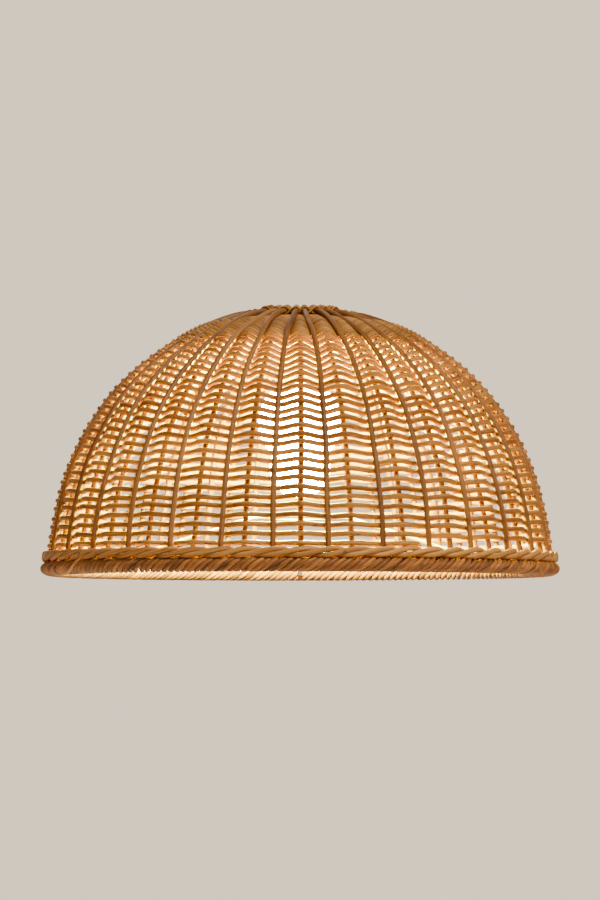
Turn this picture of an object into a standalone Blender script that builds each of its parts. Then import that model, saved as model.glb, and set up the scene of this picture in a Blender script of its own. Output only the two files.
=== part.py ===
"""A woven rattan lamp shade: a closed dome of crossed rods and round weavers on a wire hoop, with a
three-armed fitter inside that seats on the lampholder. Metres, +Z up. The origin is the centre of the
rim's underside, which is the face the shade stands on when it is off the lamp."""

from math import acos, asin, copysign, cos, hypot, pi, radians, sin

import bmesh
import bpy
import numpy as np

# Overall sizes
RIM_RADIUS = 0.205  # outside of the border
SHADE_HEIGHT = 0.215  # rim underside to the top of the crossed rods
SHOULDER_ANGLE = radians(70)  # from the axis to where the crown arc runs into the side arc
RIM_ANGLE = radians(88)  # the same at the rim: the side still leans in by two degrees there

# Rods and weave
ROD_RADIUS = 0.00225  # base rods and by-stakes
WEAVE_THICKNESS = 0.003  # mean thickness of the layer of weavers
GAP = 0.0004  # room between pieces that touch
CROSS_GAP = 0.0006  # the same where rods cross on top of each other
FRONT_RODS = 8  # base rods that run from front to back, on top
SIDE_RODS = 7  # base rods that run from side to side, below them
CROSS_PITCH = 0.006  # between neighbouring base rods where they cross
SPREAD_RUN = 0.018  # the length over which the rods fan out and come level beyond the cross
BY_STAKE_RADIUS = 0.060  # distance from the axis at which the by-stakes are put in
CROWN_RADIUS = 0.105  # here the closely woven crown ends and the open side weave begins
STATION_STEP = 0.030  # facet length down the side
SIDE_BANDS = ("shoulder_weave", "upper_side_weave", "lower_side_weave")

# Rim
BORDER_PROUD = 0.0041  # the border stands out this far beyond the side
BORDER_HEIGHT = 0.012
BORDER_CORNER = 0.0035  # its outer and inner edges are rounded off this far
WALE_HEIGHT = 0.0075  # the band of heavier strands above the border
WALE_THICKNESS = 0.0038
HOOP_WIRE_RADIUS = 0.0025
HOOP_DEPTH = 0.0105  # hoop's wire centre, inward from the outside of the border

# Fitter
FITTER_SEAT_HEIGHT = 0.045  # underside of the fitter ring, above the rim's underside
FITTER_HOLE_RADIUS = 0.021
FITTER_RING_WIDTH = 0.007
FITTER_RING_THICKNESS = 0.002
ARM_COUNT = 3
ARM_WIRE_RADIUS = 0.002
ARM_LEVEL_RUN = 0.014  # the arm leaves the ring level for this far
ARM_FOOT_RUN = 0.016  # and runs level again into the hoop
ARM_BEND_RADIUS = 0.030

STAKES = 2 * 2 * (FRONT_RODS + SIDE_RODS)  # two ends to a rod, and a by-stake between every two ends
PITCH_ANGLE = 2 * pi / STAKES
RING_SEGMENTS = STAKES  # the rims' corners then stand at the stakes

# The outside surface is two arcs in the plane of the axis. Their radii follow from the overall sizes.
SIDE_RADIUS = RIM_RADIUS - BORDER_PROUD  # outside of the weave at the rim's underside
CROWN_ARC, SIDE_ARC = np.linalg.solve(
    [
        [sin(SHOULDER_ANGLE), sin(RIM_ANGLE) - sin(SHOULDER_ANGLE)],
        [1 - cos(SHOULDER_ANGLE), cos(SHOULDER_ANGLE) - cos(RIM_ANGLE)],
    ],
    [SIDE_RADIUS, SHADE_HEIGHT],
)
CROWN_LENGTH = CROWN_ARC * SHOULDER_ANGLE  # along the surface, from the top to the shoulder


def surface(length):
    """Radius, height and outward normal of the outside surface, this far down from the top."""
    if length <= CROWN_LENGTH:
        angle = length / CROWN_ARC
        radius = CROWN_ARC * sin(angle)
        height = SHADE_HEIGHT - CROWN_ARC * (1 - cos(angle))
    else:
        angle = SHOULDER_ANGLE + (length - CROWN_LENGTH) / SIDE_ARC
        radius = CROWN_ARC * sin(SHOULDER_ANGLE) + SIDE_ARC * (sin(angle) - sin(SHOULDER_ANGLE))
        height = SIDE_ARC * (cos(angle) - cos(RIM_ANGLE))
    return radius, height, sin(angle), cos(angle)


def length_at_height(height):
    """How far down the side this height lies. It holds below the shoulder."""
    angle = acos(cos(RIM_ANGLE) + height / SIDE_ARC)
    return CROWN_LENGTH + (angle - SHOULDER_ANGLE) * SIDE_ARC


def length_at_radius(radius):
    """How far down the crown this radius lies."""
    return CROWN_ARC * asin(radius / CROWN_ARC)


def place(length, azimuth, depth):
    """The point this deep below the outside surface."""
    radius, height, across, up = surface(length)
    radius -= depth * across
    return radius * cos(azimuth), radius * sin(azimuth), height - depth * up


def smooth_step(value, low, high):
    share = min(max((value - low) / (high - low), 0), 1)
    return share * share * (3 - 2 * share)


# Stations: the distances down the surface at which rods and weave have their corners, the same for all,
# so that their facets stay parallel.
CROSS_RADIUS = hypot(FRONT_RODS - 1, SIDE_RODS - 1) * CROSS_PITCH / 2 + 2 * ROD_RADIUS
CROSS_END = length_at_radius(CROSS_RADIUS)
SPREAD_END = length_at_radius(CROSS_RADIUS + SPREAD_RUN)
BY_STAKE_START = max(length_at_radius(BY_STAKE_RADIUS), SPREAD_END + ROD_RADIUS)
CROWN_END = length_at_radius(CROWN_RADIUS)
WALE_TOP = BORDER_HEIGHT + GAP + WALE_HEIGHT
SIDE_END = length_at_height(WALE_TOP + GAP)
BY_STAKE_INNER_DEPTH = WEAVE_THICKNESS + GAP + 2 * ROD_RADIUS  # on the side, below the outside surface
LEAN = cos(RIM_ANGLE) + WALE_TOP / SIDE_ARC  # fall of a piece for each unit of its depth, near the rim
ROD_END = length_at_height(BORDER_HEIGHT + GAP + BY_STAKE_INNER_DEPTH * LEAN)
SIDE_STEPS = len(SIDE_BANDS) * max(1, round((SIDE_END - CROWN_END) / STATION_STEP / len(SIDE_BANDS)))
CROWN_STATIONS = [
    0,
    CROSS_END,
    SPREAD_END,
    BY_STAKE_START,
    (BY_STAKE_START + CROWN_END) / 2,
    CROWN_END,
]
SIDE_STATIONS = list(np.linspace(CROWN_END, SIDE_END, SIDE_STEPS + 1))
STATIONS = CROWN_STATIONS + SIDE_STATIONS[1:] + [ROD_END]


def crossing(length):
    """1 where the side rods lie under the front rods, 0 where all base rods are level."""
    return 1 - smooth_step(length, CROSS_END, SPREAD_END)


def side_rod_depth(length):
    return ROD_RADIUS + crossing(length) * (2 * ROD_RADIUS + CROSS_GAP)


def weave_depth(length, column):
    """The middle of the weave. It passes inside the base rods and, on the side, outside the by-stakes."""
    inside = side_rod_depth(length) + ROD_RADIUS + GAP + WEAVE_THICKNESS / 2
    if column % 2 == 0:
        return inside
    outside = WEAVE_THICKNESS / 2
    return inside + (outside - inside) * smooth_step(length, BY_STAKE_START, CROWN_END)


def by_stake_depth(length):
    return weave_depth(length, 1) + WEAVE_THICKNESS / 2 + GAP + ROD_RADIUS


def material(name, colour, roughness, metallic=0.0):
    made = bpy.data.materials.new(name)
    made.use_nodes = True
    shader = made.node_tree.nodes["Principled BSDF"]
    shader.inputs["Base Color"].default_value = (*colour, 1)
    shader.inputs["Roughness"].default_value = roughness
    shader.inputs["Metallic"].default_value = metallic
    return made


def add_object(name, data, look, parent):
    made = bpy.data.objects.new(name, data)
    data.materials.append(look)
    made.parent = parent
    bpy.context.scene.collection.objects.link(made)
    return made


def finish_mesh(name, shape, look, parent):
    """Turns a bmesh into an object with its faces pointing out."""
    bmesh.ops.recalc_face_normals(shape, faces=shape.faces)
    mesh = bpy.data.meshes.new(name)
    shape.to_mesh(mesh)
    shape.free()
    mesh.shade_smooth()
    mesh.set_sharp_from_angle(angle=radians(40))
    return add_object(name, mesh, look, parent)


def rod(name, points, radius, look, parent):
    """A round rod or wire along the points, with closed ends."""
    curve = bpy.data.curves.new(name, "CURVE")
    curve.dimensions = "3D"
    curve.bevel_depth = radius
    curve.bevel_resolution = 1
    curve.use_fill_caps = True
    spline = curve.splines.new("POLY")
    spline.points.add(len(points) - 1)
    for spot, point in zip(spline.points, points):
        spot.co = (*point, 1)
    return add_object(name, curve, look, parent)


def ring(name, profile, segments, look, parent):
    """Turns a closed profile of (radius, height) points about the axis."""
    shape = bmesh.new()
    loops = []
    for step in range(segments):
        azimuth = 2 * pi * step / segments
        loops.append([shape.verts.new((r * cos(azimuth), r * sin(azimuth), z)) for r, z in profile])
    for step in range(segments):
        here, beyond = loops[step], loops[(step + 1) % segments]
        for i in range(len(profile)):
            j = (i + 1) % len(profile)
            shape.faces.new((here[i], here[j], beyond[j], beyond[i]))
    return finish_mesh(name, shape, look, parent)


def weave_band(name, lengths, look, parent):
    """One closed band of the weave, waved in and out round the stakes. A band from the top is a cap."""
    shape = bmesh.new()

    def row(length, side):
        if length == 0:
            depth = weave_depth(0, 0) + side * WEAVE_THICKNESS / 2
            return [shape.verts.new(place(0, 0, depth))] * STAKES
        return [
            shape.verts.new(
                place(length, column * PITCH_ANGLE, weave_depth(length, column) + side * WEAVE_THICKNESS / 2)
            )
            for column in range(STAKES)
        ]

    outer = [row(length, -1) for length in lengths]
    inner = [row(length, 1) for length in reversed(lengths)]
    rows = outer + inner
    closing = [] if lengths[0] == 0 else [(rows[-1], rows[0])]
    for upper, lower in list(zip(rows, rows[1:])) + closing:
        for column in range(STAKES):
            beyond = (column + 1) % STAKES
            corners = (upper[column], lower[column], lower[beyond], upper[beyond])
            distinct = list(dict.fromkeys(corners))
            if len(distinct) > 2:
                shape.faces.new(distinct)
    return finish_mesh(name, shape, look, parent)


def base_rod_points(offset, end_angle, heading, depth_at):
    """A rod that crosses the top at this offset to the side of the axis. Beyond the cross both of its
    ends fan out to end_angle from the heading."""

    def angle_at(length):
        return asin(offset / surface(length)[0]) if length <= CROSS_END else end_angle

    lengths = STATIONS[1:]
    far = [place(length, heading - angle_at(length), depth_at(length)) for length in lengths]
    near = [place(length, heading + pi + angle_at(length), depth_at(length)) for length in lengths]
    middle = place(length_at_radius(abs(offset)), heading - copysign(pi / 2, offset), depth_at(0))
    return near[::-1] + [middle] + far


def make_base_rods(look, parent):
    """The crossed rods. Their ends stand at every second stake place, outside the weave."""
    for set_name, count, heading, depth_at in (
        ("front_rod", FRONT_RODS, pi / 2, lambda length: ROD_RADIUS),
        ("side_rod", SIDE_RODS, 0, side_rod_depth),
    ):
        for index in range(count):
            place_in_set = index - (count - 1) / 2
            offset = place_in_set * CROSS_PITCH
            points = base_rod_points(offset, place_in_set * 2 * PITCH_ANGLE, heading, depth_at)
            rod(f"{set_name}_{index + 1:02d}", points, ROD_RADIUS, look, parent)


def make_by_stakes(look, parent):
    """One stake in each space between the base rods, inside the weave."""
    lengths = [length for length in STATIONS if length >= BY_STAKE_START]
    for index in range(STAKES // 2):
        azimuth = (2 * index + 1) * PITCH_ANGLE
        points = [place(length, azimuth, by_stake_depth(length)) for length in lengths]
        rod(f"by_stake_{index + 1:02d}", points, ROD_RADIUS, look, parent)


def make_weave(look, parent):
    weave_band("crown_weave", CROWN_STATIONS, look, parent)
    steps = SIDE_STEPS // len(SIDE_BANDS)
    for index, name in enumerate(SIDE_BANDS):
        lengths = SIDE_STATIONS[index * steps : (index + 1) * steps + 1]
        lengths[0] += GAP
        weave_band(name, lengths, look, parent)


def make_rim(border_look, wale_look, steel_look, parent):
    """The wale strands above, the border with a groove on its inner side, and the hoop in the groove."""
    low, high = BORDER_HEIGHT + GAP, WALE_TOP
    outer_wall = surface(length_at_height(low))[0] + GAP
    inner_wall = surface(SIDE_END)[0] - by_stake_depth(SIDE_END) - ROD_RADIUS - GAP
    for name, near, far in (
        ("outer_wale", outer_wall, outer_wall + WALE_THICKNESS),
        ("inner_wale", inner_wall - WALE_THICKNESS, inner_wall),
    ):
        edge = (far - near) / 4
        section = [
            (near, low + edge),
            (near + edge, low),
            (far - edge, low),
            (far, low + edge),
            (far, high - edge),
            (far - edge, high),
            (near + edge, high),
            (near, high - edge),
        ]
        ring(name, section, RING_SEGMENTS, wale_look, parent)

    inside = inner_wall - WALE_THICKNESS
    hoop_radius, hoop_height = RIM_RADIUS - HOOP_DEPTH, BORDER_HEIGHT / 2
    groove = HOOP_WIRE_RADIUS + GAP
    round_end = [
        (hoop_radius + groove * sin(angle), hoop_height + groove * cos(angle))
        for angle in np.linspace(0, pi, 5)
    ]
    border = [
        (inside + BORDER_CORNER, 0),
        (RIM_RADIUS - BORDER_CORNER, 0),
        (RIM_RADIUS, BORDER_CORNER),
        (RIM_RADIUS, BORDER_HEIGHT - BORDER_CORNER),
        (RIM_RADIUS - BORDER_CORNER, BORDER_HEIGHT),
        (inside + BORDER_CORNER / 2, BORDER_HEIGHT),
        (inside, hoop_height + groove),
        *round_end,
        (inside, hoop_height - groove),
    ]
    ring("border", border, RING_SEGMENTS, border_look, parent)

    wire = [
        (hoop_radius + HOOP_WIRE_RADIUS * cos(angle), hoop_height + HOOP_WIRE_RADIUS * sin(angle))
        for angle in np.linspace(0, 2 * pi, 6, endpoint=False)
    ]
    ring("rim_hoop", wire, RING_SEGMENTS, steel_look, parent)
    return hoop_radius, hoop_height


def rounded_path(corners, radius, steps=4):
    """The (distance, height) corners joined by straight runs, with an arc of points at each bend."""
    path = [corners[0]]
    for before, corner, after in zip(corners, corners[1:], corners[2:]):
        corner = np.array(corner)
        back, on = np.array(before) - corner, np.array(after) - corner
        back_run, on_run = np.linalg.norm(back), np.linalg.norm(on)
        back, on = back / back_run, on / on_run
        half_turn = (pi - acos(np.dot(back, on))) / 2
        reach = min(radius * sin(half_turn) / cos(half_turn), 0.45 * back_run, 0.45 * on_run)
        for share in np.linspace(0, 1, steps):
            start, stop = corner + back * reach, corner + on * reach
            path.append((1 - share) ** 2 * start + 2 * share * (1 - share) * corner + share**2 * stop)
    path.append(corners[-1])
    return path


def make_fitter(hoop_radius, hoop_height, look, parent):
    """The washer that sits on the lampholder, and the arms that carry it on the hoop."""
    outside = FITTER_HOLE_RADIUS + FITTER_RING_WIDTH
    top = FITTER_SEAT_HEIGHT + FITTER_RING_THICKNESS
    washer = [
        (FITTER_HOLE_RADIUS, FITTER_SEAT_HEIGHT),
        (outside, FITTER_SEAT_HEIGHT),
        (outside, top),
        (FITTER_HOLE_RADIUS, top),
    ]
    ring("fitter_ring", washer, 48, look, parent)

    arm_height = (FITTER_SEAT_HEIGHT + top) / 2
    foot = hoop_radius - HOOP_WIRE_RADIUS - GAP
    corners = [
        (outside + GAP, arm_height),
        (outside + GAP + ARM_LEVEL_RUN, arm_height),
        (foot - ARM_FOOT_RUN, hoop_height),
        (foot, hoop_height),
    ]
    path = rounded_path(corners, ARM_BEND_RADIUS)
    for index in range(ARM_COUNT):
        azimuth = 2 * pi * index / ARM_COUNT + pi / 2
        points = [(d * cos(azimuth), d * sin(azimuth), z) for d, z in path]
        rod(f"fitter_arm_{index + 1}", points, ARM_WIRE_RADIUS, look, parent)


def main():
    for old in list(bpy.data.objects):
        bpy.data.objects.remove(old)
    shade = bpy.data.objects.new("lamp_shade", None)
    bpy.context.scene.collection.objects.link(shade)

    rod_look = material("rattan_rod", (0.44, 0.25, 0.12), 0.55)
    weaver_look = material("rattan_weaver", (0.50, 0.27, 0.11), 0.50)
    border_look = material("rattan_border", (0.24, 0.12, 0.05), 0.55)
    steel_look = material("painted_steel", (0.70, 0.66, 0.58), 0.40)

    make_base_rods(rod_look, shade)
    make_by_stakes(rod_look, shade)
    make_weave(weaver_look, shade)
    hoop_radius, hoop_height = make_rim(border_look, weaver_look, steel_look, shade)
    make_fitter(hoop_radius, hoop_height, steel_look, shade)


main()
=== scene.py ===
"""A round woven rattan lamp shade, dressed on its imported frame.

The shade is a basket. Thirty ends of crossed rods run down the outside of the weave and thirty by-stakes
run down its inside. One weaver spirals down between them, so it passes behind every rod end and in front
of every by-stake. A three-strand wale and a rolled border close the rim round a steel hoop.

Every strand is a path of points, worked out here, that one Geometry Nodes tree sweeps into round rattan.
"""

from math import acos, cos, hypot, pi, radians, sin

import bmesh
import bpy
import numpy as np
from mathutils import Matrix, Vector


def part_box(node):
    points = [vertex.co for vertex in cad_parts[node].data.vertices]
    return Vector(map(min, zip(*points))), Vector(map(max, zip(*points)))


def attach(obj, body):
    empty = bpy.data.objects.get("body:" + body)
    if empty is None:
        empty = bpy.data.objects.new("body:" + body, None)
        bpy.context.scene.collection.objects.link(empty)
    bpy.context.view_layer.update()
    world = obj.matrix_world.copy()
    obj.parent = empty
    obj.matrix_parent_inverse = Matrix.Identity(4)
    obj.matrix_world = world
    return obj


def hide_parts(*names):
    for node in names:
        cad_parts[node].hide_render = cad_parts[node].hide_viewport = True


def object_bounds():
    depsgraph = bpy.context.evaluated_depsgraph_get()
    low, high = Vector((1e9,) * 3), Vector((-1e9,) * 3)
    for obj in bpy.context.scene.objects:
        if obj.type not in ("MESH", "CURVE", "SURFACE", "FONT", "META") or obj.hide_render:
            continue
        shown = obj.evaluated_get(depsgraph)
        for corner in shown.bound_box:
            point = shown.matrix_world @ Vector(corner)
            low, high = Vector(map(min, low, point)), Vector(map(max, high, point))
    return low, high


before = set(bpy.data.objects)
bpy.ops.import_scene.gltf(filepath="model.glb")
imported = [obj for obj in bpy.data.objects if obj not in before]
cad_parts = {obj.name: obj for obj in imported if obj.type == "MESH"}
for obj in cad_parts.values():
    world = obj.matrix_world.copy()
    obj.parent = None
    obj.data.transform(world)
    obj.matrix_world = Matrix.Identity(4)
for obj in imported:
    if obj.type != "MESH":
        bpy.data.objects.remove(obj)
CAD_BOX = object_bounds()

SEED = 20
random = np.random.default_rng(SEED)


def node_reach(node):
    """A node's least and greatest distance from the axis."""
    spots = [v.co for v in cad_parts[node].data.vertices]
    distances = [hypot(p.x, p.y) for p in spots]
    return min(distances), max(distances)


# Sizes that the frame gives
SHADE_HEIGHT = CAD_BOX[1].z
RIM_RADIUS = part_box("border")[1].x
BORDER_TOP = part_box("border")[1].z
WALE_LOW, WALE_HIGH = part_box("outer_wale")[0].z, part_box("outer_wale")[1].z
HOOP_INSIDE, HOOP_OUTSIDE = node_reach("rim_hoop")
HOOP_HEIGHT = (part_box("rim_hoop")[0].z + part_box("rim_hoop")[1].z) / 2

# The outside surface and the stakes, as the CAD has them
SHOULDER_ANGLE = radians(70)
RIM_ANGLE = radians(88)
BORDER_PROUD = 0.0041
ROD_RADIUS = 0.00225
CROSS_GAP = 0.0006
FRONT_RODS = 8
SIDE_RODS = 7
CROSS_PITCH = 0.006
SPREAD_RUN = 0.018
BY_STAKE_RADIUS = 0.060
CROWN_RADIUS = 0.105
STAKES = 4 * (FRONT_RODS + SIDE_RODS)
STAKE_ANGLE = 2 * pi / STAKES
ROD_ENDS = STAKES // 2
HEADING_ENDS = ROD_ENDS / 4  # rod ends from the middle of one side of the cross to the next

# Rods and by-stakes
ROD_SINK = 0.0003  # on the side the weavers press the rod ends in this far
IN_STAKE_DEPTH = 0.0055  # axis of a by-stake, below the outside surface
STAKE_STEP = 0.005  # between points along a rod or a by-stake
CROSS_SAMPLES = 9  # points along half a rod's run over the cross
BY_STAKE_TUCK = 0.005  # the by-stakes start this far above BY_STAKE_RADIUS
BY_STAKE_STRAY = 0.003  # give or take this much
TOE_RUN = 0.015  # the stakes bend towards the border over this last part of the side
TOE_BELOW = 0.003  # and end this far below the border's top
FAN_LEAD = 0.002  # the rod ends start to fan out this far inside the cross's edge
STRAY = 0.10  # the most that a stake stands off its even place, in stake spaces
PAIR_DRAW = 0.26  # how far neighbouring rod ends draw together on the crown, in stake spaces
PAIRS_END_RADIUS = 0.100  # from here down they stand evenly

# The crown coil and the weavers
WEAVER_RADIUS = 0.0021  # on the crown, and wherever the weave's depth is worked out
WEAVER_RADII = ((-0.014, WEAVER_RADIUS), (0.004, 0.0018), (0.075, 0.0020))  # run past the crown, radius
RIM_WEAVER_RADIUS = 0.00215
CLOSE_PITCH = 0.0038  # between rows on the crown
OPEN_PITCH = 0.00735  # between rows on the side
OPENING = (-0.013, 0.002)  # the pitch opens between these runs past the crown
WEAVE_LEAD = 0.004  # the weave takes over from the coil this far above where the fanning ends
FIRST_ROW_DROP = 0.7  # the first row starts this many close pitches below that
LAST_ROW_RISE = 0.0015  # the last row ends this far above the CAD's wale
ROW_SAMPLES = 8  # points to a stake space
COIL_START = 0.0018  # the crown coil's first turn, from the axis
COIL_SAMPLES = 96  # points to a turn of the coil
COIL_GRID = 400  # points across the coil, for spacing its turns evenly
COIL_STRANDS = 4
COIL_SWELL = 1.04  # the coil's cane against the weavers'
COIL_STEP_RUN = 0.006  # the coil takes this far to sink under the pairing and to rise again
FULL_SWING_RADIUS = 0.080  # from here down the weavers wave all the way in and out
LONG_WANDER = (11, 0.00075)  # stake spaces and rise of a weaver's slow wandering
SHORT_WANDER = (3, 0.00030)
CROWN_WANDER = 0.2  # share of it that is left on the crown
CALM_RUN = 0.008  # it grows to all of it over this last part of the crown
CANE_SPACES = 166  # stake spaces that one length of cane passes
LAP_SPACES = 2  # and how many of them it shares with the next
STEP_IN_SPACES = 1.2  # a new length comes out from the inside over this many stake spaces
STEP_IN_DROP = 0.0008
STEP_IN_DEPTH = 0.0034

# The pairing, the wale and its lining
PAIRING_RADIUS = 0.0009
PAIRING_ROWS = 3
PAIRING_GAP = 0.0035  # from the cross's edge to the first row
PAIRING_SLACK = 0.001  # spare run, shared out between the rows
PAIRING_RISE = 0.6  # rise and fall of a pairing strand, in strand radii
WALE_STRAND_RADIUS = 0.0021
WALE_STRANDS = 3
WALE_DEPTH = 0.0026  # middle of the wale below the outside surface
WALE_DROP = 0.0009  # middle of the wale below the middle of the CAD's
WALE_RISE = 1.155  # rise and fall of a wale strand, in strand radii
WALE_WANDER = (5, 0.0003)  # waves in one turn, and their height
LINING_ABOVE = 0.0006  # axis of the lining above the border's top
LINING_SWELL = 1.15  # the lining's cane against the wale's

# All cane
STRAND_SPREAD = 0.04  # a strand is up to this share thicker or thinner than its kind
CANE_WANDER = 0.0026  # how far a strand strays, before its looseness
CANE_WANDER_SIZE = 0.06
CANE_VARIATION = 0.05  # how much it swells and thins along its way
CANE_VARIATION_SIZE = 0.03

# The border
BORDER_STRAND_RADIUS = 0.0019
BORDER_STRANDS = 7
BORDER_TURNS = 32
BORDER_TURN_SAMPLES = 18
BORDER_REACH = 0.0076  # half width of the roll, to the strands' axes
BORDER_WANDER = (24, 0.10)  # waves in one turn, and how far they roll a strand on, in radians

# Cane ends left standing across the rim: azimuth and lean in degrees, low and high end, tone
TAILS = (
    (208, 7, 0.0015, 0.0165, 1.0),
    (337, -2, 0.0005, 0.0075, 0.0),
)
TAIL_RADIUS = 0.0014
TAIL_SAMPLES = 9
TAIL_INSET = 0.0012  # axis of a tail inside the rim, where it stands out the most
TAIL_PEAK = 0.005  # height of that place
TAIL_BOW = 0.0030  # a tail bends in by this much
TAIL_BOW_RUN = 0.0115  # at this height above that place

# Fitter wires
ARM_WIRE_RADIUS = 0.002
ARM_LEVEL_RUN = 0.014
ARM_FOOT_RUN = 0.016
ARM_BEND_REACH = 0.006
BEND_SAMPLES = 9
WELD_INSET = 0.0012
WELD_REACH = 0.0024
WELD_SWELL = 0.4  # how much thicker than the wire a weld bead is
WELD_ROUND = 0.97  # how much of a half circle a bead's outline takes
WELD_SAMPLES = 9
HOOP_SAMPLES = 240
WASHER_SAMPLES = 96
WASHER_EDGE = 0.3  # radius of the washer's edges, in thicknesses

# Floor, lights and camera
FLOOR_HEIGHT = -1.26
FLOOR_REACH = 12
FLOOR_GLOW = 0.5
FLOOR_COLOUR = (236, 222, 216)
FLOOR_GLOW_COLOUR = (222, 203, 186)
SURROUNDINGS = (222, 203, 178)
AMBIENT = 0.35  # strength of the surroundings as the light that they give
BACKDROP = 1.9  # and as the camera sees them
LAMP_COLOUR = (0.66, 1.0, 0.02)
GLOW_COLOUR = (1.0, 0.84, 0.45)
LIGHTS = (  # name, kind, place, watts, colour, size
    ("key", "AREA", (1.7, -2.0, 3.1), 165, (1.0, 0.95, 0.85), 1.2),
    ("fill", "AREA", (-0.7, -2.8, 1.6), 14, (0.96, 0.97, 1.0), 1.8),
    ("lamp_light", "POINT", (0, 0, 0.115), 38, LAMP_COLOUR, 0.026),
    ("back", "AREA", (-0.8, 3.0, 2.0), 24, (1.0, 0.96, 0.90), 1.8),
    ("bulb_glow", "POINT", (0, 0, 0.122), 12, GLOW_COLOUR, 0.033),
    ("neck_glow", "POINT", (0, 0, 0.086), 6, GLOW_COLOUR, 0.024),
)
SEEN_LIGHTS = ("bulb_glow", "neck_glow")  # the camera sees these two as the lit bulb
CAMERA_PLACE = (0, -4.4, -0.082)
CAMERA_AIM = (0, 0, 0.100)
CAMERA_LENS = 223

SIDE_RADIUS = RIM_RADIUS - BORDER_PROUD
CROWN_ARC, SIDE_ARC = np.linalg.solve(
    [
        [sin(SHOULDER_ANGLE), sin(RIM_ANGLE) - sin(SHOULDER_ANGLE)],
        [1 - cos(SHOULDER_ANGLE), cos(SHOULDER_ANGLE) - cos(RIM_ANGLE)],
    ],
    [SIDE_RADIUS, SHADE_HEIGHT],
)
CROWN_LENGTH = CROWN_ARC * SHOULDER_ANGLE


def surface(length):
    """Radius, height and outward normal of the outside surface, for each length down from the top."""
    length = np.asarray(length, float)
    on_crown = length <= CROWN_LENGTH
    angle = np.where(
        on_crown, length / CROWN_ARC, SHOULDER_ANGLE + (length - CROWN_LENGTH) / SIDE_ARC
    )
    radius = np.where(
        on_crown,
        CROWN_ARC * np.sin(angle),
        CROWN_ARC * sin(SHOULDER_ANGLE) + SIDE_ARC * (np.sin(angle) - sin(SHOULDER_ANGLE)),
    )
    height = np.where(
        on_crown,
        SHADE_HEIGHT - CROWN_ARC * (1 - np.cos(angle)),
        SIDE_ARC * (np.cos(angle) - cos(RIM_ANGLE)),
    )
    return radius, height, np.sin(angle), np.cos(angle)


def place(length, azimuth, depth):
    """The points this deep below the outside surface, one row each."""
    radius, height, across, up = surface(length)
    radius = radius - depth * across
    height = height - depth * up
    return np.stack([radius * np.cos(azimuth), radius * np.sin(azimuth), height], axis=-1)


def length_at_height(height):
    angle = acos(cos(RIM_ANGLE) + height / SIDE_ARC)
    return CROWN_LENGTH + (angle - SHOULDER_ANGLE) * SIDE_ARC


def length_at_radius(radius):
    return CROWN_ARC * np.arcsin(np.asarray(radius) / CROWN_ARC)


def smooth_step(value, low, high):
    share = np.clip((np.asarray(value, float) - low) / (high - low), 0, 1)
    return share * share * (3 - 2 * share)


def wandering(count, spacing, amount):
    """A smooth random run of this many values, with a fresh random value every so many."""
    knots = random.uniform(-amount, amount, int(count / spacing) + 4)
    at = np.arange(count) / spacing
    whole = at.astype(int)
    share = smooth_step(at - whole, 0, 1)
    return knots[whole] * (1 - share) + knots[whole + 1] * share


CROSS_RADIUS = hypot(FRONT_RODS - 1, SIDE_RODS - 1) * CROSS_PITCH / 2 + 2 * ROD_RADIUS
CROSS_END = float(length_at_radius(CROSS_RADIUS))
SPREAD_END = float(length_at_radius(CROSS_RADIUS + SPREAD_RUN))
BY_STAKE_START = float(length_at_radius(BY_STAKE_RADIUS))
PAIRS_END = float(length_at_radius(PAIRS_END_RADIUS))
FULL_SWING = float(length_at_radius(FULL_SWING_RADIUS))
CROWN_END = float(length_at_radius(CROWN_RADIUS))
SIDE_END = length_at_height(WALE_HIGH)
ROD_TOE = length_at_height(BORDER_TOP - TOE_BELOW)
WEAVE_START = SPREAD_END - WEAVE_LEAD
PAIRING_START = CROSS_END + PAIRING_GAP
PAIRING_END = PAIRING_START + 4 * PAIRING_RADIUS * (PAIRING_ROWS - 1) + PAIRING_SLACK

# Each stake stands a little off its even place, and on the crown the rod ends draw together in pairs.
STAKE_SHIFT = random.uniform(-STRAY, STRAY, STAKES)
PAIR_SHIFT = np.zeros(STAKES)
PAIR_SHIFT[0::4], PAIR_SHIFT[2::4] = PAIR_DRAW, -PAIR_DRAW


def stake_azimuth(place_number, length):
    """Azimuth of a place between the stakes, counted in stakes, this far down."""
    place_number = np.asarray(place_number, float)
    low = np.floor(place_number).astype(int)
    share = place_number - low
    spread = smooth_step(length, SPREAD_END, CROWN_END)
    drawn = 1 - smooth_step(length, BY_STAKE_START, PAIRS_END)

    def shift(index):
        index = index % STAKES
        return STAKE_SHIFT[index] * spread + PAIR_SHIFT[index] * drawn

    return STAKE_ANGLE * (place_number + shift(low) * (1 - share) + shift(low + 1) * share)


def front_rod_depth(length):
    return ROD_RADIUS + ROD_SINK * smooth_step(length, BY_STAKE_START, CROWN_END)


def side_rod_depth(length):
    """Depth of a side rod's axis. It dips under the front rods at the cross."""
    crossing = 1 - smooth_step(length, CROSS_END, SPREAD_END)
    return front_rod_depth(length) + crossing * (2 * ROD_RADIUS + CROSS_GAP)


def heading_of(rod_end):
    """0, 2 or 4 for the end of a side rod, 1 or 3 for the end of a front rod, from azimuth 0 on."""
    return np.round(np.asarray(rod_end) / HEADING_ENDS)


def rod_end_depth(rod_end, length):
    front = heading_of(rod_end) % 2 == 1
    return np.where(front, front_rod_depth(length), side_rod_depth(length))


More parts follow.
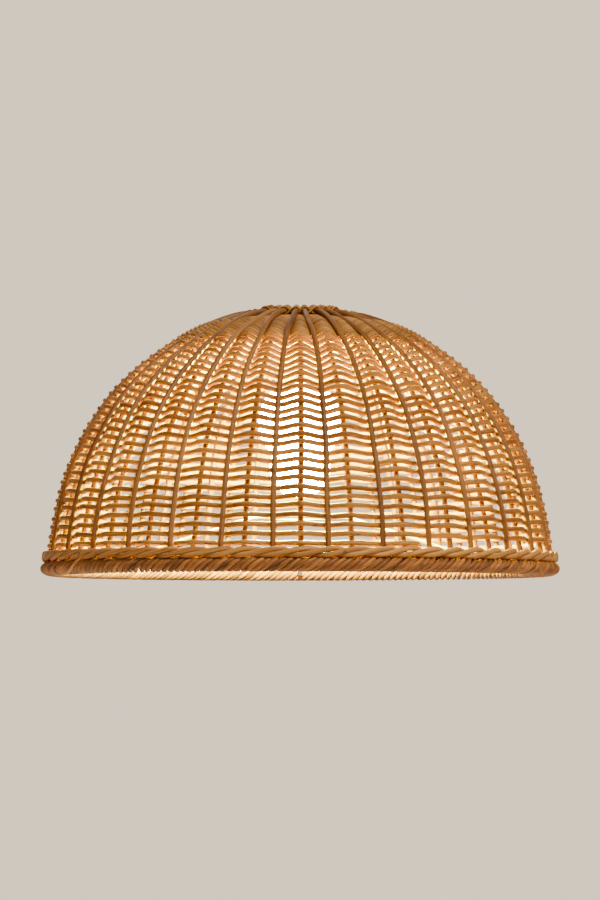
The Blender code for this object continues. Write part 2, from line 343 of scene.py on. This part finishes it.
def rod_end_azimuth(rod_end, length):
    """Azimuth of a rod end. Near the cross it keeps to its rod's straight line, then it fans out."""
    heading = heading_of(rod_end) * HEADING_ENDS
    radii = surface(length)[0]
    offset = (rod_end - heading) * CROSS_PITCH
    lean = np.arcsin(np.clip(offset / np.maximum(radii, 1e-6), -1, 1))
    fan = smooth_step(radii, CROSS_RADIUS - FAN_LEAD, CROSS_RADIUS + SPREAD_RUN)
    start = heading * 2 * STAKE_ANGLE
    return start + lean * (1 - fan) + (stake_azimuth(2 * rod_end, length) - start) * fan


# --- Strands: a path, its radius along the way, and a tone of its own ---


def strand(points, radius, tone=None, loose=1.0, closed=False):
    count = len(points)
    tone = random.uniform(0, 1) if tone is None else tone
    return {
        "points": np.asarray(points),
        "radius": np.broadcast_to(radius, count) * random.uniform(1 - STRAND_SPREAD, 1 + STRAND_SPREAD),
        "tone": np.broadcast_to(tone, count),
        "loose": np.broadcast_to(loose, count),
        "closed": closed,
    }


def make_base_rods():
    """Each rod runs from one of its ends over the cross to the other."""
    rods = []
    for count, heading in ((FRONT_RODS, 1), (SIDE_RODS, 0)):
        for index in range(count):
            step = index - (count - 1) / 2
            offset = step * CROSS_PITCH
            straight = np.linspace(0, np.sqrt(CROSS_RADIUS**2 - offset**2), CROSS_SAMPLES)[:-1]
            cross = length_at_radius(np.hypot(offset, straight))
            below = np.arange(CROSS_END, ROD_TOE, STAKE_STEP)
            lengths = np.concatenate([cross, below, [ROD_TOE]])
            ends = []
            for rod_end in (
                heading * HEADING_ENDS - step,
                (heading + 2) * HEADING_ENDS + step,
            ):
                depth = rod_end_depth(rod_end, lengths) + toe_depth(lengths, ROD_RADIUS + ROD_SINK)
                ends.append(place(lengths, rod_end_azimuth(rod_end, lengths), depth))
            rods.append(strand(np.concatenate([ends[1][::-1], ends[0][1:]]), ROD_RADIUS))
    return rods


def toe_depth(lengths, depth):
    """How far a stake at this depth moves, to run down into the middle of the wale and the border."""
    return (WALE_DEPTH - depth) * smooth_step(lengths, SIDE_END - TOE_RUN, ROD_TOE)


def make_by_stakes():
    """They start under the close weave of the crown and run down the inside to the border."""
    stakes = []
    for index in range(ROD_ENDS):
        start = BY_STAKE_START - BY_STAKE_TUCK + random.uniform(-BY_STAKE_STRAY, BY_STAKE_STRAY)
        lengths = np.append(np.arange(start, ROD_TOE, STAKE_STEP), ROD_TOE)
        depth = weaver_depth(1, lengths) + WEAVER_RADIUS + ROD_RADIUS
        depth = depth + toe_depth(lengths, IN_STAKE_DEPTH)
        azimuths = stake_azimuth(2 * index + 1, lengths)
        stakes.append(strand(place(lengths, azimuths, depth), ROD_RADIUS))
    return stakes


def weaver_rows(start, stop, pitch_at):
    """How far down the spiral is at each of its points, from one length to another."""
    lengths = [start]
    while lengths[-1] < stop:
        lengths.append(lengths[-1] + pitch_at(lengths[-1]) / (STAKES * ROW_SAMPLES))
    return np.array(lengths)


def weaver_radius(length):
    """Finest cane at the shoulder, thickest at the rim, and stout enough on the crown to close it."""
    at = [CROWN_END + run for run, _ in WEAVER_RADII] + [SIDE_END]
    radii = [radius for _, radius in WEAVER_RADII] + [RIM_WEAVER_RADIUS]
    return np.interp(length, at, radii)


def weaver_depth(place_number, length):
    """Behind every rod end, at the even places, and in front of every by-stake, at the odd ones."""
    behind = side_rod_depth(length) + ROD_RADIUS + WEAVER_RADIUS
    before = IN_STAKE_DEPTH - ROD_RADIUS - WEAVER_RADIUS
    swing = smooth_step(length, WEAVE_START, FULL_SWING)
    return behind + (before - behind) * swing * (1 - np.cos(pi * place_number)) / 2


def make_crown_coil():
    """A close coil under the cross, from the middle out to just past where the weavers begin."""
    grid = np.linspace(COIL_START, WEAVE_START + CLOSE_PITCH, COIL_GRID)
    depths = weaver_depth(0, grid)
    sunk = smooth_step(grid, PAIRING_START - COIL_STEP_RUN, PAIRING_START)
    risen = smooth_step(grid, PAIRING_END, PAIRING_END + COIL_STEP_RUN)
    depths = depths + PAIRING_RADIUS * sunk * (1 - risen)
    section = place(grid, 0, depths)
    run = np.append(0, np.cumsum(np.linalg.norm(np.diff(section, axis=0), axis=1)))
    turns = round(run[-1] / CLOSE_PITCH)
    count = turns * COIL_SAMPLES
    azimuths = 2 * pi * np.arange(count) / COIL_SAMPLES
    lengths = np.interp(np.linspace(0, run[-1], count), run, grid)
    points = place(lengths, azimuths, np.interp(lengths, grid, depths))
    return [strand(part, WEAVER_RADIUS * COIL_SWELL) for part in np.array_split(points, COIL_STRANDS)]


def make_weavers(start, stop, pitch_at):
    """The spiral, cut into lengths of cane that follow each other behind a rod end."""
    lengths = weaver_rows(start, stop, pitch_at)
    count = len(lengths)
    rise = np.zeros(count)
    for spaces, amount in (LONG_WANDER, SHORT_WANDER):
        rise = rise + wandering(count, spaces * ROW_SAMPLES, amount)
    loosened = smooth_step(lengths, CROWN_END - CALM_RUN, CROWN_END)
    rise = rise * (CROWN_WANDER + (1 - CROWN_WANDER) * loosened)
    places = np.arange(count) / ROW_SAMPLES
    run = CANE_SPACES * ROW_SAMPLES
    lap = LAP_SPACES * ROW_SAMPLES
    pieces = []
    first = 0
    while first < count - lap:
        last = min(first + run, count)
        part = slice(first, last)
        here = places[part]
        step_in = np.clip(1 - (here - here[0]) / STEP_IN_SPACES, 0, 1) * (first > 0)
        length = lengths[part] + rise[part] + STEP_IN_DROP * step_in
        depth = weaver_depth(here, length) + STEP_IN_DEPTH * step_in
        points = place(length, stake_azimuth(here, length), depth)
        pieces.append(strand(points, weaver_radius(length)))
        first = last - lap
    return pieces


def rope_path(lengths, places, strands, index, centre_depth, reach, rise, azimuth_at):
    """A strand of a twist that the stakes pass through, inside one stake in each turn."""
    turn = 2 * pi * (places + index) / strands
    inward = np.cos(turn) if strands == 2 else np.cos(turn) + np.cos(2 * turn) / 3 - 1 / 3
    length = lengths + rise * np.sin(turn)
    return place(length, azimuth_at(places, length), centre_depth + reach * inward)


def make_pairing():
    """Rows of fine two-strand twist round the rods, which lock the cross."""
    count = PAIRING_ROWS * ROD_ENDS * ROW_SAMPLES
    places = np.arange(count) / ROW_SAMPLES
    lengths = np.linspace(PAIRING_START, PAIRING_END, count)
    rod_end = np.floor(places).astype(int) % ROD_ENDS
    share = places - np.floor(places)

    def between(measure, length, share):
        return measure(rod_end, length) * (1 - share) + measure(rod_end + 1, length) * share

    centre = between(rod_end_depth, lengths, smooth_step(share, 0, 1))
    strands = []
    for index in (0, 1):
        points = rope_path(
            lengths,
            places,
            2,
            index,
            centre,
            ROD_RADIUS + PAIRING_RADIUS,
            PAIRING_RISE * PAIRING_RADIUS,
            lambda _, length: between(rod_end_azimuth, length, share),
        )
        strands.append(strand(points, PAIRING_RADIUS))
    return strands


def make_wale():
    """One row of three-strand wale above the border, with a straight lining strand behind it."""
    middle = (WALE_LOW + WALE_HIGH) / 2 - WALE_DROP
    places = np.arange(STAKES * ROW_SAMPLES) / ROW_SAMPLES
    lengths = np.full(len(places), length_at_height(middle))
    strands = []
    for index in range(WALE_STRANDS):
        points = rope_path(
            lengths + wandering_loop(len(places), *WALE_WANDER),
            places,
            WALE_STRANDS,
            index,
            WALE_DEPTH,
            ROD_RADIUS + WALE_STRAND_RADIUS,
            WALE_RISE * WALE_STRAND_RADIUS,
            stake_azimuth,
        )
        strands.append(strand(points, WALE_STRAND_RADIUS, loose=0.4, closed=True))
    lining = np.full(len(places), length_at_height(BORDER_TOP + LINING_ABOVE))
    depth = WALE_DEPTH + ROD_RADIUS + WALE_STRAND_RADIUS
    points = place(lining, 2 * pi * places / STAKES, depth)
    strands.append(strand(points, WALE_STRAND_RADIUS * LINING_SWELL, loose=0.2, closed=True))
    return strands


def wandering_loop(count, waves, amount):
    """A smooth random run that closes on itself."""
    turn = 2 * pi * np.arange(count) / count
    total = np.zeros(count)
    for wave in range(1, waves + 1):
        total += np.sin(wave * turn + random.uniform(0, 2 * pi)) * random.uniform(0.4, 1)
    return amount * total / np.sqrt(waves)


def make_border():
    """Strands rolled round the hoop, side by side, into a flattened rope."""
    middle = RIM_RADIUS - BORDER_STRAND_RADIUS - BORDER_REACH
    up = BORDER_TOP / 2 - BORDER_STRAND_RADIUS
    count = BORDER_TURNS * BORDER_TURN_SAMPLES
    azimuths = 2 * pi * np.arange(count) / count
    strands = []
    for index in range(BORDER_STRANDS):
        roll = BORDER_TURNS * azimuths + 2 * pi * index / BORDER_STRANDS
        roll = roll + wandering_loop(count, *BORDER_WANDER)
        radius = middle + BORDER_REACH * np.cos(roll)
        height = BORDER_TOP / 2 + up * np.sin(roll)
        points = np.stack([radius * np.cos(azimuths), radius * np.sin(azimuths), height], axis=-1)
        strands.append(strand(points, BORDER_STRAND_RADIUS, loose=0.0, closed=True))
    return strands


def make_tails():
    """Two ends of cane left standing across the rim, one long and pale, one short and dark."""
    tails = []
    for azimuth, lean, low, high, tone in TAILS:
        heights = np.linspace(low, high, TAIL_SAMPLES)
        azimuths = np.radians(azimuth + lean * np.linspace(0, 1, TAIL_SAMPLES) ** 0.8)
        bow = ((heights - TAIL_PEAK) / TAIL_BOW_RUN) ** 2
        radii = RIM_RADIUS - TAIL_INSET - TAIL_BOW * bow
        points = np.stack([radii * np.cos(azimuths), radii * np.sin(azimuths), heights], axis=-1)
        tails.append(strand(points, TAIL_RADIUS, tone=tone, loose=0.0))
    return tails


# --- The Geometry Nodes tree that sweeps the paths ---


def socket_id(tree, name):
    for item in tree.interface.items_tree:
        if item.item_type == "SOCKET" and item.in_out == "INPUT" and item.name == name:
            return item.identifier
    raise KeyError(name)


def set_input(links, made, key, value):
    """Links or sets a node's input, which is named, or numbered as i0, i1 and so on."""
    numbered = key[0] == "i" and key[1:].isdigit()
    target = made.inputs[int(key[1:])] if numbered else made.inputs[key]
    if hasattr(value, "is_output"):
        links.new(value, target)
    else:
        target.default_value = value


def sweep_tree():
    """Round strands along paths. The paths' points carry their radius, tone and looseness."""
    tree = bpy.data.node_groups.new("Round strands", "GeometryNodeTree")
    face = tree.interface
    face.new_socket("Paths", in_out="INPUT", socket_type="NodeSocketGeometry")
    for name, kind, value in (
        ("Sides", "NodeSocketInt", 8),
        ("Wander", "NodeSocketFloat", 0.0),
        ("Wander Size", "NodeSocketFloat", 0.05),
        ("Thickness Variation", "NodeSocketFloat", 0.0),
        ("Variation Size", "NodeSocketFloat", 0.03),
        ("Seed", "NodeSocketFloat", 0.0),
    ):
        face.new_socket(name, in_out="INPUT", socket_type=kind).default_value = value
    face.new_socket("Material", in_out="INPUT", socket_type="NodeSocketMaterial")
    face.new_socket("Strands", in_out="OUTPUT", socket_type="NodeSocketGeometry")

    nodes, links = tree.nodes, tree.links

    def node(kind, settings=None, **inputs):
        made = nodes.new(kind)
        for key, value in (settings or {}).items():
            setattr(made, key, value)
        for key, value in inputs.items():
            set_input(links, made, key, value)
        return made

    start = nodes.new("NodeGroupInput").outputs

    def named(name):
        made = node("GeometryNodeInputNamedAttribute", {"data_type": "FLOAT"}, Name=name)
        return made.outputs["Attribute"]

    def maths(operation, a, b=0.0):
        return node("ShaderNodeMath", {"operation": operation}, i0=a, i1=b).outputs[0]

    def vector(operation, a, b=None, scale=None):
        made = node("ShaderNodeVectorMath", {"operation": operation}, i0=a)
        if b is not None:
            set_input(links, made, "i1", b)
        if scale is not None:
            set_input(links, made, "Scale", scale)
        return made.outputs[0]

    position = node("GeometryNodeInputPosition").outputs[0]
    noise = node(
        "ShaderNodeTexNoise",
        {"noise_dimensions": "4D"},
        Vector=position,
        W=start["Seed"],
        Scale=maths("DIVIDE", 1.0, start["Wander Size"]),
        Detail=1.0,
    )
    away = vector("SUBTRACT", noise.outputs["Color"], (0.5, 0.5, 0.5))
    away = vector("SCALE", away, scale=maths("MULTIPLY", start["Wander"], named("loose")))
    moved = node("GeometryNodeSetPosition", Geometry=start["Paths"], Offset=away)
    curves = node("GeometryNodeMeshToCurve", Mesh=moved.outputs[0])

    along = node("GeometryNodeSplineParameter").outputs["Length"]
    keep = node("GeometryNodeCaptureAttribute", Geometry=curves.outputs[0])
    keep.capture_items.new("FLOAT", "Length")
    links.new(along, keep.inputs["Length"])

    profile = node("GeometryNodeCurvePrimitiveCircle", Resolution=start["Sides"], Radius=1.0)
    keep_profile = node("GeometryNodeCaptureAttribute", Geometry=profile.outputs["Curve"])
    keep_profile.capture_items.new("VECTOR", "Side")
    links.new(position, keep_profile.inputs["Side"])

    swell = node(
        "ShaderNodeTexNoise",
        {"noise_dimensions": "4D"},
        Vector=position,
        W=maths("MULTIPLY", named("tone"), 40.0),
        Scale=maths("DIVIDE", 1.0, start["Variation Size"]),
        Detail=2.0,
    )
    swell = maths("MULTIPLY", maths("SUBTRACT", swell.outputs["Fac"], 0.5), 2.0)
    swell = maths("ADD", maths("MULTIPLY", swell, start["Thickness Variation"]), 1.0)
    swept = node(
        "GeometryNodeCurveToMesh",
        **{
            "Curve": keep.outputs["Geometry"],
            "Profile Curve": keep_profile.outputs["Geometry"],
            "Scale": maths("MULTIPLY", swell, named("radius")),
            "Fill Caps": True,
        },
    )
    shift = maths("ADD", keep.outputs["Length"], maths("MULTIPLY", named("tone"), 37.0))
    lengthways = node("ShaderNodeCombineXYZ", Z=shift).outputs[0]
    grain = vector("ADD", keep_profile.outputs["Side"], lengthways)
    stored = node(
        "GeometryNodeStoreNamedAttribute",
        {"data_type": "FLOAT_VECTOR", "domain": "POINT"},
        Geometry=swept.outputs[0],
        Name="grain",
        Value=grain,
    )
    shaded = node("GeometryNodeSetShadeSmooth", Geometry=stored.outputs[0])
    real = node("GeometryNodeRealizeInstances", Geometry=shaded.outputs[0])
    done = node("GeometryNodeSetMaterial", Geometry=real.outputs[0], Material=start["Material"])
    links.new(done.outputs[0], nodes.new("NodeGroupOutput").inputs[0])
    return tree


SWEEP = sweep_tree()


def path_mesh(name, strands):
    """The strands' paths as one mesh of edges, with what each point carries."""
    points = np.concatenate([s["points"] for s in strands])
    edges = []
    first = 0
    for s in strands:
        count = len(s["points"])
        edges += [(first + i, first + i + 1) for i in range(count - 1)]
        if s["closed"]:
            edges.append((first + count - 1, first))
        first += count
    mesh = bpy.data.meshes.new(name)
    mesh.from_pydata(points.tolist(), edges, [])
    for key in ("radius", "tone", "loose"):
        values = np.concatenate([s[key] for s in strands]).astype(np.float32)
        mesh.attributes.new(key, "FLOAT", "POINT").data.foreach_set("value", values)
    return mesh


def plain_mesh(piece):
    """Turns an object and its modifiers into a plain mesh."""
    bpy.context.view_layer.update()
    shown = piece.evaluated_get(bpy.context.evaluated_depsgraph_get())
    mesh = bpy.data.meshes.new_from_object(shown)
    mesh.name = piece.name
    piece.modifiers.clear()
    piece.data = mesh
    return piece


def sweep(name, strands, material, sides, wander=CANE_WANDER, variation=CANE_VARIATION):
    """A piece of round strands. Wander and variation are how far they stray and how much they swell."""
    piece = bpy.data.objects.new(name, path_mesh(name, strands))
    bpy.context.scene.collection.objects.link(piece)
    modifier = piece.modifiers.new("Round strands", "NODES")
    modifier.node_group = SWEEP
    for key, value in (
        ("Sides", sides),
        ("Wander", wander),
        ("Wander Size", CANE_WANDER_SIZE),
        ("Thickness Variation", variation),
        ("Variation Size", CANE_VARIATION_SIZE),
        ("Seed", float(SEED)),
        ("Material", material),
    ):
        modifier[socket_id(SWEEP, key)] = value
    return plain_mesh(piece)


# --- Materials ---


def shader_graph(name):
    made = bpy.data.materials.new(name)
    made.use_nodes = True
    tree = made.node_tree
    shader = tree.nodes["Principled BSDF"]

    def node(kind, settings=None, **inputs):
        added = tree.nodes.new(kind)
        for key, value in (settings or {}).items():
            setattr(added, key, value)
        for key, value in inputs.items():
            set_input(tree.links, added, key, value)
        return added

    return made, tree, shader, node


def srgb(red, green, blue):
    """A colour given as 0 to 255, as linear light."""

    def linear(level):
        level /= 255
        return level / 12.92 if level <= 0.04045 else ((level + 0.055) / 1.055) ** 2.4

    return (linear(red), linear(green), linear(blue), 1)


def rattan(name, pale, deep, streak, roughness):
    """Round cane: long streaks of pale and deep, fine dark fibres, a tone for each strand, dull sheen."""
    made, tree, shader, node = shader_graph(name)
    grain = node("ShaderNodeAttribute", {"attribute_name": "grain"}).outputs["Vector"]
    tone = node("ShaderNodeAttribute", {"attribute_name": "tone"}).outputs["Fac"]

    def along(scale, detail, **more):
        stretched = node("ShaderNodeMapping", Vector=grain, Scale=scale).outputs[0]
        noise = node("ShaderNodeTexNoise", Vector=stretched, Scale=1.0, Detail=detail, **more)
        return noise.outputs["Fac"]

    broad = along((0.7, 0.7, 14.0), 3.0)
    streaks = along((2.2, 2.2, 30.0), 5.0, Roughness=0.65)
    fibres = along((9.0, 9.0, 60.0), 3.0, Roughness=0.7)
    blotch = along((0.4, 0.4, 120.0), 2.0)

    def maths(operation, a, b=0.0):
        return node("ShaderNodeMath", {"operation": operation}, i0=a, i1=b).outputs[0]

    def spread(value, low, high, to_low=0.0, to_high=1.0):
        ends = {"From Min": low, "From Max": high, "To Min": to_low, "To Max": to_high}
        return node("ShaderNodeMapRange", Value=value, **ends).outputs[0]

    mottle = maths("MULTIPLY", spread(broad, 0.35, 0.65), 0.60)
    mix = maths("ADD", maths("MULTIPLY", tone, 0.40), mottle)
    base = mixed(node, tree, mix, deep, pale)
    lines = maths("MULTIPLY", spread(streaks, 0.50, 0.72), 0.55)
    base = mixed(node, tree, lines, base, streak)
    marks = maths("MULTIPLY", spread(blotch, 0.62, 0.72), 0.5)
    base = mixed(node, tree, marks, base, streak)
    tree.links.new(base, shader.inputs["Base Color"])
    rough = spread(streaks, 0.3, 0.7, roughness - 0.07, roughness + 0.12)
    tree.links.new(rough, shader.inputs["Roughness"])
    height = maths("ADD", maths("MULTIPLY", fibres, 0.5), maths("MULTIPLY", streaks, 0.6))
    bump = node("ShaderNodeBump", Strength=0.5, Distance=0.00025, Height=height)
    tree.links.new(bump.outputs[0], shader.inputs["Normal"])
    shader.inputs["Specular IOR Level"].default_value = 0.3
    return made


def mixed(node, tree, factor, a, b):
    """The colour between a and b."""
    made = node("ShaderNodeMix", {"data_type": "RGBA"})
    for key, value in (("i0", factor), ("i6", a), ("i7", b)):
        set_input(tree.links, made, key, value)
    return made.outputs[2]


def painted_steel(low, high):
    """Satin paint, its colour drifting between the two given."""
    made, tree, shader, node = shader_graph("painted_steel")
    place_on = node("ShaderNodeTexCoord").outputs["Object"]
    fine = node("ShaderNodeTexNoise", Vector=place_on, Scale=900.0, Detail=3.0).outputs["Fac"]
    broad = node("ShaderNodeTexNoise", Vector=place_on, Scale=60.0, Detail=4.0).outputs["Fac"]
    colour = mixed(node, tree, broad, low, high)
    tree.links.new(colour, shader.inputs["Base Color"])
    rough = node("ShaderNodeMapRange", **{"Value": fine, "To Min": 0.35, "To Max": 0.5}).outputs[0]
    tree.links.new(rough, shader.inputs["Roughness"])
    bump = node("ShaderNodeBump", Strength=0.2, Distance=0.0001, Height=fine)
    tree.links.new(bump.outputs[0], shader.inputs["Normal"])
    return made


# The rods and by-stakes take darker colours than the weavers: the cane's own colour with painted shade
# for stakes that stand dark between the lit weavers.
ROD_SHADED_LOOK = rattan("rattan_rod", srgb(166, 112, 54), srgb(102, 60, 22), srgb(52, 28, 9), 0.52)
WEAVER_LOOK = rattan("rattan_weaver", srgb(210, 148, 64), srgb(132, 78, 22), srgb(62, 30, 7), 0.50)
WALE_LOOK = rattan("rattan_rim_strand", srgb(214, 152, 78), srgb(128, 76, 28), srgb(60, 30, 8), 0.52)
# The border takes the darkest colours of all the cane: partly its own deeper brown, partly painted shade
# for the rolled rim's underside.
BORDER_LOOK = rattan("rattan_border", srgb(184, 118, 54), srgb(66, 32, 8), srgb(26, 11, 3), 0.50)
STEEL_LOOK = painted_steel(srgb(214, 206, 192), srgb(236, 228, 214))


# --- The hoop and the fitter ---


def wire(points, radius, closed=False):
    return strand(points, radius, tone=0.5, loose=0.0, closed=closed)


def make_hoop():
    radius = (HOOP_OUTSIDE - HOOP_INSIDE) / 2
    middle = (HOOP_OUTSIDE + HOOP_INSIDE) / 2
    azimuths = 2 * pi * np.arange(HOOP_SAMPLES) / HOOP_SAMPLES
    heights = np.full(HOOP_SAMPLES, HOOP_HEIGHT)
    points = np.stack([middle * np.cos(azimuths), middle * np.sin(azimuths), heights], axis=-1)
    return [wire(points, radius, closed=True)]


def bend(before, corner, after, reach):
    """Points round a bend that starts and ends this far from its corner."""
    before, corner, after = (np.array(p) for p in (before, corner, after))
    start = corner + (before - corner) / np.linalg.norm(before - corner) * reach
    stop = corner + (after - corner) / np.linalg.norm(after - corner) * reach
    share = np.linspace(0, 1, BEND_SAMPLES)[:, None]
    return (1 - share) ** 2 * start + 2 * share * (1 - share) * corner + share**2 * stop


def make_arm(node):
    """A wire from the washer down to the hoop, with a weld bead at each end."""
    low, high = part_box(node)
    azimuth = np.arctan2(low.y + high.y, low.x + high.x)
    near, far = node_reach(node)
    top, foot = high.z - ARM_WIRE_RADIUS, low.z + ARM_WIRE_RADIUS
    corners = [(near, top), (near + ARM_LEVEL_RUN, top), (far - ARM_FOOT_RUN, foot), (far, foot)]
    upper = bend(*corners[:3], ARM_BEND_REACH)
    lower = bend(*corners[1:], ARM_BEND_REACH)
    path = np.concatenate([corners[:1], upper, lower, corners[3:]])

    def turned(distances_heights):
        d, z = np.asarray(distances_heights).T
        return np.stack([d * np.cos(azimuth), d * np.sin(azimuth), z], axis=-1)

    bead = np.linspace(-1, 1, WELD_SAMPLES)
    swell = ARM_WIRE_RADIUS * (1 + WELD_SWELL * np.sqrt(1 - (WELD_ROUND * bead) ** 2))
    strands = [wire(turned(path), ARM_WIRE_RADIUS)]
    for at, height in ((near + WELD_INSET, top), (far - WELD_INSET, foot)):
        spots = turned(np.stack([at + bead * WELD_REACH, np.full(WELD_SAMPLES, height)], axis=-1))
        strands.append(wire(spots, swell))
    return strands


def make_washer():
    """The washer that sits on the lampholder, its edges rounded off."""
    low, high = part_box("fitter_ring")[0].z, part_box("fitter_ring")[1].z
    near, far = node_reach("fitter_ring")
    edge = (high - low) * WASHER_EDGE
    angles = np.linspace(0, pi / 2, 4)
    corners = (
        (far - edge, high - edge, 0),
        (near + edge, high - edge, 1),
        (near + edge, low + edge, 2),
        (far - edge, low + edge, 3),
    )
    section = [
        (r + edge * cos(a + quarter * pi / 2), z + edge * sin(a + quarter * pi / 2))
        for r, z, quarter in corners
        for a in angles
    ]
    shape = bmesh.new()
    loops = [
        [shape.verts.new((r * cos(t), r * sin(t), z)) for r, z in section]
        for t in 2 * pi * np.arange(WASHER_SAMPLES) / WASHER_SAMPLES
    ]
    for here, beyond in zip(loops, loops[1:] + loops[:1]):
        for i in range(len(section)):
            j = (i + 1) % len(section)
            shape.faces.new((here[i], beyond[i], beyond[j], here[j]))
    bmesh.ops.recalc_face_normals(shape, faces=shape.faces)
    mesh = bpy.data.meshes.new("washer")
    shape.to_mesh(mesh)
    shape.free()
    mesh.shade_smooth()
    mesh.materials.append(STEEL_LOOK)
    piece = bpy.data.objects.new("washer", mesh)
    bpy.context.scene.collection.objects.link(piece)
    return piece


# --- Putting it together ---


def stands_for(piece, slot, *nodes):
    """Rides the piece on the shade's one body, in place of these CAD nodes."""
    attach(piece, "root")
    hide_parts(*nodes)


def named_like(*starts):
    return [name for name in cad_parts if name.startswith(starts)]


def row_pitch(length):
    """The rows lie close on the crown and stand apart on the side."""
    opened = smooth_step(length, CROWN_END + OPENING[0], CROWN_END + OPENING[1])
    return float(CLOSE_PITCH + (OPEN_PITCH - CLOSE_PITCH) * opened)


def build_shade():
    rods = sweep("base_rods", make_base_rods(), ROD_SHADED_LOOK, sides=10)
    stands_for(rods, "rattan_rods", *named_like("front_rod", "side_rod"))
    stakes = sweep("by_stakes", make_by_stakes(), ROD_SHADED_LOOK, sides=10)
    stands_for(stakes, "rattan_rods", *named_like("by_stake"))

    bands = ("crown_weave", "shoulder_weave", "upper_side_weave", "lower_side_weave")
    strands = {band: [] for band in bands}
    start, stop = WEAVE_START + CLOSE_PITCH * FIRST_ROW_DROP, SIDE_END - LAST_ROW_RISE
    for weaver in make_weavers(start, stop, row_pitch):
        height = weaver["points"][:, 2].mean()
        band = next((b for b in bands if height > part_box(b)[0].z), bands[-1])
        strands[band].append(weaver)
    strands["crown_weave"] += make_crown_coil()
    for band in bands:
        weavers = sweep(f"{band}rs", strands[band], WEAVER_LOOK, sides=8)
        stands_for(weavers, "rattan_weavers", band)
    pairing = sweep("cross_pairing", make_pairing(), WEAVER_LOOK, sides=6)
    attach(pairing, "root")

    wale = sweep("wale", make_wale() + make_tails(), WALE_LOOK, sides=10)
    stands_for(wale, "rattan_rim_strands", "outer_wale", "inner_wale")
    border = sweep("rolled_border", make_border(), BORDER_LOOK, sides=8)
    stands_for(border, "rattan_border", "border")

    hoop = sweep("hoop", make_hoop(), STEEL_LOOK, sides=16, wander=0.0, variation=0.0)
    stands_for(hoop, "painted_steel", "rim_hoop")
    arm_nodes = named_like("fitter_arm")
    arms = [part for node in arm_nodes for part in make_arm(node)]
    arms = sweep("fitter_arms", arms, STEEL_LOOK, sides=14, wander=0.0, variation=0.0)
    stands_for(arms, "painted_steel", *arm_nodes)
    stands_for(make_washer(), "painted_steel", "fitter_ring")


# --- Floor, lights and camera ---


def make_floor():
    made = bpy.data.materials.new("floor_paint")
    made.use_nodes = True
    shader = made.node_tree.nodes["Principled BSDF"]
    shader.inputs["Base Color"].default_value = srgb(*FLOOR_COLOUR)
    shader.inputs["Roughness"].default_value = 0.6
    shader.inputs["Emission Color"].default_value = srgb(*FLOOR_GLOW_COLOUR)
    shader.inputs["Emission Strength"].default_value = FLOOR_GLOW
    mesh = bpy.data.meshes.new("floor")
    ways = ((-1, -1), (1, -1), (1, 1), (-1, 1))
    corners = [(x * FLOOR_REACH, y * FLOOR_REACH, FLOOR_HEIGHT) for x, y in ways]
    mesh.from_pydata(corners, [], [(0, 1, 2, 3)])
    mesh.materials.append(made)
    floor = bpy.data.objects.new("floor", mesh)
    bpy.context.scene.collection.objects.link(floor)


def add_light(name, kind, at, power, colour, size, aim):
    data = bpy.data.lights.new(name, kind)
    data.energy = power
    data.color = colour
    if kind == "AREA":
        data.shape = "DISK"
        data.size = size
    else:
        data.shadow_soft_size = size
    light = bpy.data.objects.new(name, data)
    light.location = at
    if aim:
        light.rotation_euler = (Vector(aim) - Vector(at)).to_track_quat("-Z", "Y").to_euler()
    bpy.context.scene.collection.objects.link(light)
    return light


def make_studio():
    """Pale surroundings, soft key, fill and back lights, and the warm light inside the shade."""
    world = bpy.data.worlds.new("studio")
    world.use_nodes = True
    nodes, links = world.node_tree.nodes, world.node_tree.links
    background = nodes["Background"]
    seen = nodes.new("ShaderNodeLightPath")
    strength = nodes.new("ShaderNodeMapRange")
    strength.inputs["To Min"].default_value = AMBIENT
    strength.inputs["To Max"].default_value = BACKDROP
    links.new(seen.outputs["Is Camera Ray"], strength.inputs["Value"])
    links.new(strength.outputs[0], background.inputs["Strength"])
    background.inputs["Color"].default_value = srgb(*SURROUNDINGS)
    bpy.context.scene.world = world

    for name, kind, at, power, colour, size in LIGHTS:
        aim = (0, 0, SHADE_HEIGHT / 2) if kind == "AREA" else None
        light = add_light(name, kind, at, power, colour, size, aim)
        if name in SEEN_LIGHTS:
            light.visible_camera = True


def make_camera():
    data = bpy.data.cameras.new("camera")
    data.lens = CAMERA_LENS
    data.sensor_width = 36
    data.clip_end = 100
    camera = bpy.data.objects.new("camera", data)
    camera.location = CAMERA_PLACE
    aim = Vector(CAMERA_AIM) - camera.location
    camera.rotation_euler = aim.to_track_quat("-Z", "Y").to_euler()
    bpy.context.scene.collection.objects.link(camera)
    bpy.context.scene.camera = camera


build_shade()
make_floor()
make_studio()
make_camera()
